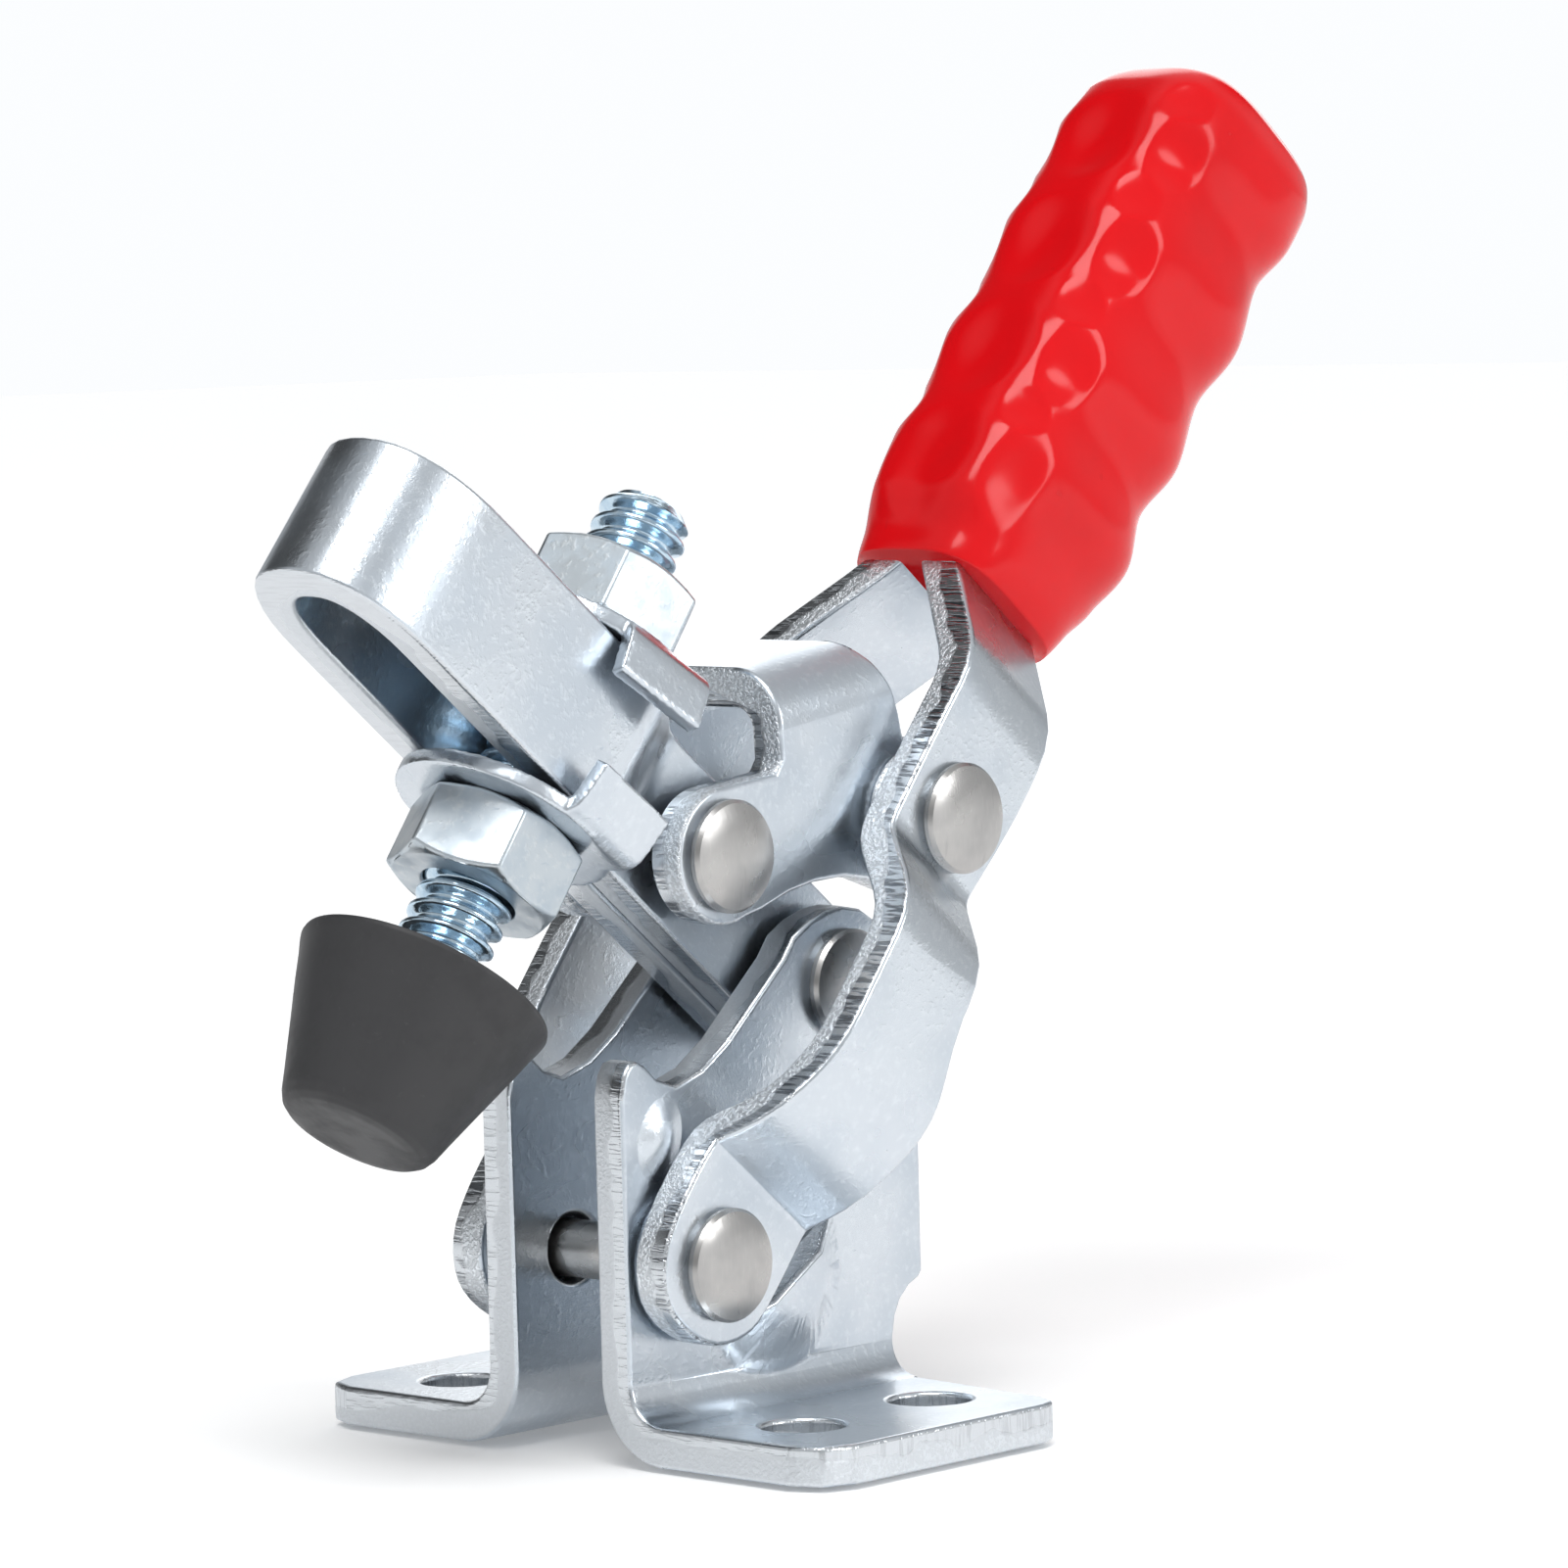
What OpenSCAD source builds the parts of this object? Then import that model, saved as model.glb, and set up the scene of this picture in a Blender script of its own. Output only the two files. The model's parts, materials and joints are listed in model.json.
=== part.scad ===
// Vertical toggle clamp with a flanged base, an open clamping arm and an adjustable spindle.
// Millimetres. The arm points to -X, the handle leans to +X and +Z is up.
// The origin is the middle of the four base holes, on the underside of the feet.

/* [Mechanism] */
// Lean of the handle from upright
handle_lean = 39.8; // [20:0.1:58]
// Distance from the handle pivot to the pivot of the link on the handle
handle_crank = 33.4; // [25:0.1:45]
// Distance between the two pivots of the link
link_length = 17.4; // [12:0.1:25]
// Distance from the arm pivot to the pivot of the link on the arm
arm_crank = 14; // [10:0.1:20]
// Handle pivot, measured back from the origin
handle_pivot_x = -6.45; // [-10:0.05:-3]
// Handle pivot, height above the feet
handle_pivot_z = 11.9; // [9:0.1:16]
// Arm pivot, measured back from the origin
arm_pivot_x = 8.35; // [5:0.05:12]
// Arm pivot, height above the feet
arm_pivot_z = 27.5; // [22:0.1:34]

/* [Base] */
// Sheet thickness of the two base plates
base_sheet = 2.5; // [1.5:0.1:4]
// Half of the gap between the two base plates
base_gap_half = 3.6; // [3:0.05:6]
// Outer radius of the bend between wall and foot
base_bend = 5; // [3:0.1:8]
// Half of the overall width across the feet
foot_half_width = 22; // [16:0.5:30]
// Hole diameter in the feet
foot_hole = 5.2; // [3:0.1:7]
// Hole spacing along the base
hole_spacing_x = 11.5; // [8:0.1:16]
// Hole spacing across the base
hole_spacing_y = 29.5; // [24:0.1:40]
// Outer radius of the half round stop pressed out of each wall
stop_radius = 6.6; // [4:0.1:8]
// Height of that stop
stop_height = 2.3; // [1:0.1:3]

/* [Handle] */
// Sheet thickness of the two handle plates
handle_sheet = 2.6; // [1.5:0.1:4]
// Inner distance of a handle plate from the middle plane at the lower pivot
handle_in_low = 6.65; // [6:0.05:9]
// The same in the bowed middle part
handle_in_mid = 12.2; // [9:0.1:15]
// The same at the link pivot
handle_in_link = 7.45; // [7:0.05:10]
// Distance from the lower pivot to the mouth of the grip
grip_start = 50.1; // [45:0.1:60]
// Depth of the grip at its lobes
grip_depth = 17; // [12:0.1:20]
// Width of the grip at its lobes
grip_width = 13.4; // [10:0.1:18]
// How much the grip narrows between its lobes
grip_neck = 0.8; // [0:0.05:2]

/* [Arm and link] */
// Thickness of the arm strip
arm_sheet = 2.75; // [2:0.05:4]
// Height of the arm strip
arm_height = 10; // [6:0.1:14]
// How far the strip's middle lies above the line of its pivots
arm_offset = 0.3; // [-1:0.1:1]
// Half of the arm's width beside the slot
arm_half_width = 6; // [5:0.05:8]
// Distance from the arm pivot to the nose
arm_reach = 49.4; // [40:0.1:70]
// Sheet thickness of the link
link_sheet = 2.5; // [1.5:0.1:4]
// Half of the link's width
link_half_width = 6.5; // [6:0.05:7]
// Height of the link's top above its lower pivot
link_top = 10.33; // [8:0.1:14]

/* [Rivets] */
// Diameter of the rivet shanks
rivet_shank = 3.6; // [2.5:0.1:5]
// Diameter of the rivet heads
rivet_head = 7; // [5:0.1:9]
// Height of the domed rivet heads
rivet_dome = 1.25; // [0.8:0.05:2]

/* [Spindle] */
// Distance from the arm pivot to the spindle
spindle_at = 26; // [25:0.1:42.5]
// Lean of the loosely nutted spindle towards the nose
spindle_lean = 3; // [0:0.5:3]
// Diameter of the spindle thread
spindle_d = 6; // [4:0.1:8]
// Length of the spindle above the arm's middle line
spindle_up = 16.8; // [12:0.1:20]
// Distance from the arm's middle line down to the rubber cap
cap_at = 18.6; // [15:0.1:25]
// Height of the rubber cap
cap_height = 9.9; // [6:0.1:14]
// Upper diameter of the rubber cap
cap_top_d = 16.2; // [12:0.1:20]
// Lower diameter of the rubber cap
cap_low_d = 10.2; // [8:0.1:16]
// Width across the flats of the nuts
nut_flats = 10; // [8:0.1:13]
// Height of the nuts
nut_height = 5; // [3:0.1:6]
// Sheet thickness of the flanged washers
washer_sheet = 1.1; // [0.8:0.05:2]

/* [Hidden] */
$fn = 64;
clear = 0.05;
eye_r = rivet_shank / 2 + clear;
front = -11.85;

// Pivot positions in the side view, worked out from the lean of the handle
p1 = [handle_pivot_x, handle_pivot_z];
p4 = [arm_pivot_x, arm_pivot_z];
p2 = p1 + handle_crank * [sin(handle_lean), cos(handle_lean)];
reach = norm(p4 - p2);
toward = (p4 - p2) / reach;
foot_at = (link_length * link_length - arm_crank * arm_crank + reach * reach) / (2 * reach);
rise = sqrt(link_length * link_length - foot_at * foot_at);
p3 = p2 + foot_at * toward + rise * [toward[1], -toward[0]];
arm_raise = atan2(p3[1] - p4[1], p4[0] - p3[0]);
link_tilt = atan2(p2[1] - p3[1], p2[0] - p3[0]);

// Curve helpers: a closed smooth outline, a path with softened corners and a bent sheet of even thickness
function knot(p, i) = p[(i + len(p)) % len(p)];
function smooth(p, n) = [for (i = [0 : len(p) - 1]) for (k = [0 : n - 1])
    let (a = knot(p, i - 1), b = knot(p, i), c = knot(p, i + 1), d = knot(p, i + 2), t = k / n)
    0.5 * (2 * b + (c - a) * t + (2 * a - 5 * b + 4 * c - d) * t * t + (3 * b - a - 3 * c + d) * t * t * t)];
function unit(v) = v / norm(v);
function right(v) = [v[1], -v[0]];
function soften(p, d, n = 4) = concat([p[0]], [for (i = [1 : len(p) - 2])
    let (a = p[i] - d * unit(p[i] - p[i - 1]), c = p[i] + d * unit(p[i + 1] - p[i]))
    for (k = [0 : n]) let (t = k / n) (1 - t) * (1 - t) * a + 2 * t * (1 - t) * p[i] + t * t * c],
    [p[len(p) - 1]]);
function side_of(p, i) = i == 0 ? right(unit(p[1] - p[0]))
    : i == len(p) - 1 ? right(unit(p[i] - p[i - 1]))
    : let (a = right(unit(p[i] - p[i - 1])), b = right(unit(p[i + 1] - p[i]))) (a + b) / (1 + a * b);
function ribbon(p, t) = concat(p, [for (i = [len(p) - 1 : -1 : 0]) p[i] + t * side_of(p, i)]);

// An outline in the side view, extruded from y0 to y1
module side(y0, y1) { translate([0, y1, 0]) rotate([90, 0, 0]) linear_extrude(y1 - y0) children(); }
// A section in the front view, extruded from x0 to x1
module section(x0, x1) { translate([x0, 0, 0]) rotate([90, 0, 90]) linear_extrude(x1 - x0) children(); }
// A round bar or hole across the clamp
module across(r, y0, y1) { translate([0, y1, 0]) rotate([90, 0, 0]) cylinder(h = y1 - y0, r = r); }
module both() { children(); mirror([0, 1, 0]) children(); }

module at_handle() { translate([p1[0], 0, p1[1]]) rotate([0, handle_lean, 0]) children(); }
module at_link() { translate([p3[0], 0, p3[1]]) rotate([0, -link_tilt, 0]) children(); }
module at_arm() { translate([p4[0], 0, p4[1]]) rotate([0, arm_raise, 0]) children(); }
module at_spindle() { at_arm() translate([-spindle_at, 0, 0]) rotate([0, -spindle_lean, 0]) children(); }

// Base plate: a wall and a foot bent from one sheet
wall_line = [[0, 0], [0, 8], [0, 16], [0, 22.3], [0.3, 23.7], [0.8, 24.4], [1.5, 24.6], [2.2, 24.2],
    [3.2, 23.3], [4.8, 22.75], [7.2, 23.5], [9.5, 25], [12, 27.2], [14.7, 29.6], [15.7, 30.9],
    [17.2, 31.75], [18.8, 32.25], [20.3, 32.4], [21.9, 32.1], [23.4, 31.2], [24.5, 29.9],
    [25.3, 28], [26, 24.5], [26.6, 20.5], [26.9, 17], [26.9, 12], [26.9, 8.6], [26.6, 8.2],
    [25.7, 7.8], [24.8, 7], [24.3, 6], [24, 4.6], [23.7, 3], [23.5, 0]];

module bend_section() {
    in = base_gap_half;
    translate([in, base_bend]) square([base_sheet, 34]);
    translate([in + base_bend, 0]) square([foot_half_width - in - base_bend, base_sheet]);
    intersection() {
        translate([in + base_bend, base_bend]) difference() { circle(base_bend); circle(base_bend - base_sheet); }
        translate([in, 0]) square(base_bend);
    }
}

module foot_plan() {
    w = foot_half_width;
    difference() {
        polygon([[0, 0], [0, w - 3], [0.9, w - 0.9], [3, w], [20.2, w], [21.6, w - 0.6], [22.2, w - 2],
                 [23.4, 9], [23.6, 0]]);
        for (x = [-front - hole_spacing_x / 2, -front + hole_spacing_x / 2])
            translate([x, hole_spacing_y / 2]) circle(d = foot_hole);
    }
}

// Half of a pressed cone, cut off square along the line where the open handle comes to rest
module stop_bump() {
    translate([p1[0] + 7.4, base_gap_half + base_sheet - 0.02, p1[1] - 1.6]) rotate([0, -32, 0])
        intersection() {
            rotate([-90, 0, 0]) cylinder(h = stop_height, r1 = stop_radius, r2 = 2.5);
            translate([-10, -1, -10]) cube([20, 6, 10]);
        }
}

module base_plate() {
    face = base_gap_half + base_sheet;
    difference() {
        union() {
            translate([front, 0, 0]) intersection() {
                section(-1, 28) bend_section();
                union() {
                    side(0, base_gap_half + base_bend) polygon(wall_line);
                    translate([0, base_gap_half + base_bend - 0.01, -1]) linear_extrude(4)
                        translate([0, -base_gap_half - base_bend + 0.01]) difference() {
                            foot_plan();
                            square([40, base_gap_half + base_bend - 0.01]);
                        }
                }
            }
            translate([p1[0], 0, p1[1]]) across(4.4, face - 0.5, face + 0.45);
            translate([front, 0, 0]) side(face - 0.5, face + 0.42)
                polygon([[0.02, 17], [2.6, 17], [4.2, 18.6], [4.2, 20.8], [2.4, 22.6], [0.3, 23.4], [0.02, 22]]);
            stop_bump();
        }
        translate([p1[0], 0, p1[1]]) across(2.2, 0, 12);
        translate([p4[0], 0, p4[1]]) across(eye_r, 0, 12);
    }
}
module base_far() { color("LightSteelBlue") base_plate(); }
module base_near() { color("LightSteelBlue") mirror([0, 1, 0]) base_plate(); }

// Rivet with two domed heads, face is the distance of the outer sheet face from the middle plane
dome = [[0, 0], [3.25, 0], [3.5, 0.3], [3.5, 0.6], [3.3, 0.86], [2.6, 1.08], [1.5, 1.21], [0, 1.25]];
module head() {
    rotate([-90, 0, 0]) rotate_extrude()
        polygon([for (q = dome) [q[0] * rivet_head / 7, q[1] * rivet_dome / 1.25]]);
}
module rivet(face, inner = 0) {
    both() {
        translate([0, face, 0]) head();
        across(rivet_shank / 2, inner, face + 0.1);
    }
}
low_face = handle_in_low + handle_sheet;
link_face = handle_in_link + handle_sheet;
module rivet_handle_base() { color("Silver") translate([p1[0], 0, p1[1]]) rivet(low_face); }
module rivet_arm_base() { color("Silver") translate([p4[0], 0, p4[1]]) rivet(base_gap_half + base_sheet); }
module rivet_handle_link() { color("Silver") translate([p2[0], 0, p2[1]]) rivet(link_face); }
module rivet_link_arm() {
    color("Silver") translate([p3[0], 0, p3[1]]) rivet(link_half_width, link_half_width - link_sheet);
}
module rivet_core() { color("Silver") translate([p3[0], 0, p3[1]]) across(rivet_shank / 2, -2.9, 2.9); }

// Handle plate: one strip with a bow in the middle, its upper end bent in until the two plates meet
handle_line = [[-5.3, 0], [-5.45, 4], [-4.95, 9], [-4.55, 12.5], [-4.7, 20], [-5, 36], [-4.85, 44],
    [-4.4, 53], [-4.2, 80], [-3, 85.6], [0, 87], [3, 85.6], [4.2, 80], [4.6, 60], [5, 52], [4.8, 47],
    [4.6, 42.5], [4.7, 36.5], [3.95, 28], [3.75, 21], [5.1, 15.5], [5.35, 12], [5, 7.5], [5, 0],
    [4.33, -2.5], [2.5, -4.33], [0, -5], [-2.6, -4.6], [-4.55, -2.7]];
handle_bend = soften([[handle_in_low, -8], [handle_in_low, 7], [handle_in_low + 3.7, 9.4],
    [handle_in_mid, 14.2], [handle_in_mid, 23.3], [handle_in_link, 28.6], [handle_in_link, 41.8],
    [0.06, 51], [0.06, 90]], 1.75, 3);

module handle_plate() {
    difference() {
        intersection() {
            section(-12, 12) polygon(ribbon(handle_bend, handle_sheet));
            side(0, 20) polygon(smooth(handle_line, 3));
        }
        across(eye_r, 0, 20);
        translate([0, 0, handle_crank]) across(eye_r, 0, 20);
    }
}
module handle_far() { color("LightSteelBlue") at_handle() handle_plate(); }
module handle_near() { color("LightSteelBlue") at_handle() mirror([0, 1, 0]) handle_plate(); }

// Grip: a loft of rounded rectangles, each with its height, middle, depth, width and corner radius
lobe = [grip_depth, grip_width, 4];
neck = [grip_depth - 2 * grip_neck, grip_width - 1.5 * grip_neck, 4.3];
grip_rings = [[0, 0.7, 12.7, 11.5, 3], [2, 0.7, 13.5, 12.2, 3.5], [4.9, 0.95, neck[0], neck[1], neck[2]],
    [8.9, 1.15, lobe[0], lobe[1], lobe[2]], [12.9, 1.1, neck[0], neck[1], neck[2]],
    [17.2, 1.1, lobe[0], lobe[1], lobe[2]], [22.2, 1.2, neck[0], neck[1], neck[2]],
    [27.2, 1.25, lobe[0], lobe[1], lobe[2]], [32.2, 1.3, neck[0], neck[1], neck[2]],
    [36, 1.35, lobe[0] - 0.2, lobe[1] - 0.2, lobe[2]], [39.2, 1.3, 15.1, 11.9, 4.6],
    [41.1, 1.3, 11.6, 9, 4.2], [41.9, 1.3, 7.4, 5.4, 2.6]];
module ring(g) {
    translate([g[1], 0, grip_start + g[0]]) linear_extrude(0.05) hull() {
        for (sx = [-1, 1]) for (sy = [-1, 1])
            translate([sx * (g[2] / 2 - g[4]), sy * (g[3] / 2 - g[4])]) circle(g[4], $fn = 28);
    }
}
module grip() {
    pocket = [for (q = ribbon([for (q = handle_bend) if (q[1] > 43) q], handle_sheet + 0.04)) q];
    color("Crimson") at_handle() difference() {
        for (i = [0 : len(grip_rings) - 2]) hull() { ring(grip_rings[i]); ring(grip_rings[i + 1]); }
        intersection() {
            both() section(-4.6, 5.2) polygon(concat([[-0.1, 90], [-0.1, 43]],
                [for (i = [len(pocket) - 1 : -1 : len(pocket) / 2]) pocket[i]]));
            translate([-10, -10, 40]) cube([20, 20, 47.1]);
        }
    }
}

// Link: a channel folded over the arm, with an eye at each end of its walls
link_line = [[0, 4.25], [2.4, 4.35], [4.9, 4.45], [5.5, 5.2], [5.55, 7], [5.9, 13], [14.3, 13],
    [14.5, 11.4], [15.4, 10], [16.2, 8.2], [16.6, 6.7], [16.9, 5], [17.4, 3], [19, 0], [17.4, -3],
    [17.4, -5], [15, -4.4], [12.5, -3.3], [10.4, -2.85], [7.8, -2.8], [5.4, -3.1], [2.8, -3.8],
    [0, -4.25], [-2, 0]];
module channel(w, h, r) {
    translate([-w, -20]) square([2 * w, 20 + h - r]);
    translate([r - w, -20]) square([2 * w - 2 * r, 20 + h]);
    for (s = [-1, 1]) translate([s * (w - r), h - r]) circle(r);
}
module link() {
    t = link_sheet;
    w = link_half_width;
    color("LightSteelBlue") at_link() difference() {
        union() {
            intersection() {
                rotate([0, -4.4, 0]) section(-8, 26) difference() {
                    channel(w, link_top, 3.9);
                    channel(w - t, link_top - t, 3.9 - t);
                }
                union() {
                    side(-10, 10) polygon(link_line);
                    across(4.25, -10, 10);
                    translate([link_length, 0, 0]) across(5, -10, 10);
                }
            }
            both() translate([link_length, 0, 0]) across(4.2, w - 0.5, w + 0.8);
        }
        across(eye_r, -10, 10);
        translate([link_length, 0, 0]) across(eye_r, -10, 10);
    }
}

// Arm: one strip bent round the nose, its two legs drawn together behind the slot
module arm() {
    t = arm_sheet;
    w = arm_half_width;
    leg = soften([[8, 2.9], [-19.6, 2.9], [-23.6, w], [8.5 - arm_reach, w]], 1.3, 3);
    nose = [for (k = [1 : 9]) [8.5 - arm_reach - 8.5 * pow(sin(k * 9.6), 0.87), w * pow(cos(k * 9.6), 0.87)]];
    half = concat(leg, nose);
    strip = concat(half, [for (i = [len(half) - 1 : -1 : 0]) [half[i][0], -half[i][1]]]);
    color("LightSteelBlue") at_arm() difference() {
        intersection() {
            translate([0, 0, -8]) linear_extrude(16) polygon(ribbon(strip, -t));
            side(-10, 10) translate([0, arm_offset]) union() {
                translate([-arm_reach - 1, -arm_height / 2]) square([arm_reach + 1, arm_height]);
                circle(d = arm_height);
            }
        }
        across(eye_r, -10, 10);
        translate([-arm_crank, 0, 0]) across(eye_r, -10, 10);
    }
}

// Spindle unit
module spindle() {
    r = spindle_d / 2;
    color("SteelBlue") at_spindle() union() {
        translate([0, 0, spindle_up - 0.7]) cylinder(h = 0.7, r1 = r, r2 = r - 0.6);
        translate([0, 0, -cap_at - 3]) cylinder(h = spindle_up + cap_at + 2.3, r = r);
        translate([0, 0, -cap_at - 7]) rotate([0, 0, 18]) cylinder(h = 4, r = 5.5, $fn = 6);
    }
}
module cap() {
    h = cap_height;
    a = cap_top_d / 2;
    b = cap_low_d / 2;
    color("DimGray") at_spindle() translate([0, 0, -cap_at - h]) rotate_extrude() polygon([[0, 0],
        [b - 1.4, 0], [b - 0.5, 0.25], [b, 0.9], [a - 0.25, h - 1.4], [a, h - 0.75], [a - 0.3, h - 0.2],
        [a - 0.9, h], [3, h], [3, h - 2.96], [5.56, h - 2.96], [5.56, h - 7.05], [0, h - 7.05]]);
}
module nut(turn) {
    r = nut_flats / 2 / cos(30);
    h = nut_height;
    difference() {
        intersection() {
            rotate([0, 0, turn]) cylinder(h = h, r = r, $fn = 6);
            rotate_extrude() polygon([[0, 0], [r - 0.9, 0], [r + 0.1, 0.55], [r + 0.1, h - 0.55], [r - 0.9, h], [0, h]]);
        }
        translate([0, 0, -1]) cylinder(h = h + 2, r = spindle_d / 2 + clear);
    }
}
module nut_upper() { color("SteelBlue") at_spindle() translate([0, 0, 6.85]) nut(-12); }
module nut_lower() { color("SteelBlue") at_spindle() translate([0, 0, -6.25 - nut_height]) nut(-1); }

// Flanged washer: a round plate with a splayed tab folded along each side of the arm
module washer() {
    t = washer_sheet;
    edge = ribbon(soften([[5.6, 0], [7.5, 0], [8.4, 3.7]], 1.35, 4), -t);
    difference() {
        union() {
            cylinder(h = t, r = 7.1);
            both() section(-2, 4.8) polygon(edge);
            linear_extrude(t) polygon([[-5, -5.04], [-2, -5.9], [4.8, -5.9], [4.8, 5.9], [-2, 5.9], [-5, 5.04]]);
        }
        translate([0, 0, -1]) cylinder(h = 4, r = 3.1);
    }
}
module washer_lower() {
    color("LightSteelBlue") at_spindle() translate([0, 0, -5.1 - washer_sheet]) rotate([0, 0, 2]) washer();
}
module washer_upper() {
    color("LightSteelBlue") at_spindle() translate([0, 0, 5.7 + washer_sheet]) rotate([0, 0, -10])
        mirror([0, 0, 1]) washer();
}

base_near();
base_far();
rivet_handle_base();
rivet_arm_base();
rivet_handle_link();
rivet_link_arm();
rivet_core();
handle_near();
handle_far();
grip();
link();
arm();
spindle();
cap();
nut_upper();
nut_lower();
washer_upper();
washer_lower();
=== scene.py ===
"""Toggle clamp: finished pieces, materials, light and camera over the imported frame."""
import json
import math

import bmesh
import bpy
import numpy as np
from mathutils import Matrix, Vector


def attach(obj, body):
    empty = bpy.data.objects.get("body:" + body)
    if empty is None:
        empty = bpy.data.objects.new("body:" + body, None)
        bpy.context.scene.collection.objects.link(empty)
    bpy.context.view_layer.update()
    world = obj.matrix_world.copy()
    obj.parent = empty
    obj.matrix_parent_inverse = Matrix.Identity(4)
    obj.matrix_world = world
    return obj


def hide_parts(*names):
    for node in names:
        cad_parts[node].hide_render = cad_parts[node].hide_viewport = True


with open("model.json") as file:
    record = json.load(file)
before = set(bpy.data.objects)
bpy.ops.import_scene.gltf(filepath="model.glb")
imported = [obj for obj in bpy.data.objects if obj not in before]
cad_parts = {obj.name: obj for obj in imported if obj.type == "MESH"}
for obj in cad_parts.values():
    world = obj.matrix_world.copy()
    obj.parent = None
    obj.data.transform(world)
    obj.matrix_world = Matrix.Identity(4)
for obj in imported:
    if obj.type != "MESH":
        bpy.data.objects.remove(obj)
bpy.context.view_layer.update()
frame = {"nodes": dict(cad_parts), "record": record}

bl_info = {
    "name": "Toggle Clamp",
    "version": (1, 0, 0),
    "blender": (4, 5, 0),
    "location": "3D Viewport > Sidebar > Clamp",
    "description": "Builds the pressed sheets, threads, grip and finishes of a vertical toggle clamp",
    "category": "Add Mesh",
}

MM = 0.001  # metres in a millimetre
TO_MM = 1000  # millimetres in a metre
MERGE = 2e-7  # points nearer than this, in metres, are one point
FLAT = math.radians(0.6)  # faces that meet at a smaller angle are one face
SHADED_SHARP = math.radians(33)  # edges that turn further are shaded sharp
ROUNDED = math.radians(40)  # edges that turn further are rounded
THREAD_SHARP = math.radians(60)  # the spindle's own limit, so that its crests stay smooth
CUT_NORMAL = 0.12  # a cut edge's normal has no more than this along the sheet's own normal
FULL_TURN = 2 * math.pi

# The camera as it was solved from the photograph; lengths of the scene are in metres
PHOTO_WIDTH = 1601  # pixels
FOCAL_LENGTH = 7003.18  # pixels
SENSOR_WIDTH = 36  # millimetres
CAMERA_TURN = (-46.84, 4.42, -1.48)  # azimuth, elevation and roll in degrees
CAMERA_SHIFT = (0.0051, 0.0036)  # shares of the picture's width
CAMERA_TARGET = (0.00904, 0, 0.03944)
CAMERA_DISTANCE = 0.43287

JOINTS = {j["name"]: j for j in frame["record"]["behaviour"]["joints"]}


def pivot(joint):
    """The joint's pivot in the side view, in millimetres: (x, z)."""
    x, _, z = JOINTS[joint]["pos_m"]
    return np.array([x, z]) * TO_MM


HANDLE_PIVOT = pivot("handle_swing")
LINK_PIVOT = pivot("link_swing")
ARM_PIVOT = pivot("arm_swing")
SPINDLE = pivot("upper_nut_turn")
HANDLE_LEAN = math.atan2(*(LINK_PIVOT - HANDLE_PIVOT))
ARM_RAISE = math.atan2(SPINDLE[1] - ARM_PIVOT[1], ARM_PIVOT[0] - SPINDLE[0])
SPINDLE_LEAN = math.atan2(JOINTS["spindle_height"]["axis"][0], JOINTS["spindle_height"]["axis"][2])
LINK_FOOT = np.array([-2.433, 36.428])  # the link's pivot on the arm, where the linkage is open
LINK_LEAN = math.radians(-8.13)  # of the channel, 4.4 degrees more than the line of the link's two pivots


# Properties


class ClampSizes(bpy.types.PropertyGroup):
    """Sizes of the finished pieces."""

    edge_round: bpy.props.FloatProperty(
        name="Sheet edge", description="Rounding of the sheared sheet edges", default=0.34 * MM,
        min=0.02 * MM, max=0.6 * MM, unit="LENGTH", precision=5)
    fine_round: bpy.props.FloatProperty(
        name="Fine edge", description="Rounding of the nuts and washers", default=0.2 * MM,
        min=0.02 * MM, max=0.4 * MM, unit="LENGTH", precision=5)
    thread_pitch: bpy.props.FloatProperty(
        name="Thread pitch", description="Rise of the spindle thread per turn", default=1.33 * MM,
        min=0.5 * MM, max=2 * MM, unit="LENGTH", precision=5)
    thread_depth: bpy.props.FloatProperty(
        name="Thread depth", description="Depth of the spindle thread", default=0.7 * MM,
        min=0.2 * MM, max=1 * MM, unit="LENGTH", precision=5)
    dimple_depth: bpy.props.FloatProperty(
        name="Dimple depth", description="Depth of the oval dimples in the grip", default=0.5 * MM,
        min=0, max=2 * MM, unit="LENGTH", precision=5)


class ClampColours(bpy.types.PropertyGroup):
    """Colours of the finishes."""

    zinc: bpy.props.FloatVectorProperty(
        name="Zinc sheet", description="Plated sheet steel", default=(0.62, 0.665, 0.71), subtype="COLOR",
        min=0, max=1)
    sheared: bpy.props.FloatVectorProperty(
        name="Sheared edge", description="Rough cut edges of the sheets", default=(0.64, 0.67, 0.70),
        subtype="COLOR", min=0, max=1)
    rivet: bpy.props.FloatVectorProperty(
        name="Rivets", description="Smooth warm grey rivet heads", default=(0.46, 0.452, 0.442),
        subtype="COLOR", min=0, max=1)
    screw: bpy.props.FloatVectorProperty(
        name="Screw and nuts", description="Bright blue zinc plate", default=(0.54, 0.59, 0.625),
        subtype="COLOR", min=0, max=1)
    grip: bpy.props.FloatVectorProperty(
        name="Grip", description="Glossy soft plastic of the grip", default=(0.66, 0.003, 0.006),
        subtype="COLOR", min=0, max=1)
    rubber: bpy.props.FloatVectorProperty(
        name="Rubber cap", description="Dull rubber of the spindle cap", default=(0.036, 0.036, 0.038),
        subtype="COLOR", min=0, max=1)


def sizes():
    """The scene's sizes."""
    return bpy.context.scene.clamp_sizes


def colours():
    """The scene's colours."""
    return bpy.context.scene.clamp_colours


# Materials

EVEN = (1, 1, 1)  # a grain's stretch when it looks the same along every axis
GREY = (0.5, 0.5, 0.5, 1)
NOISE_ROUGHNESS = 0.6


def group_sockets(group, ins, outs):
    """Adds named inputs, each (name, kind, default), and outputs, each (name, kind)."""
    for name, kind, default in ins:
        s = group.interface.new_socket(name=name, in_out="INPUT", socket_type=kind)
        s.default_value = default
    for name, kind in outs:
        group.interface.new_socket(name=name, in_out="OUTPUT", socket_type=kind)


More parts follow.
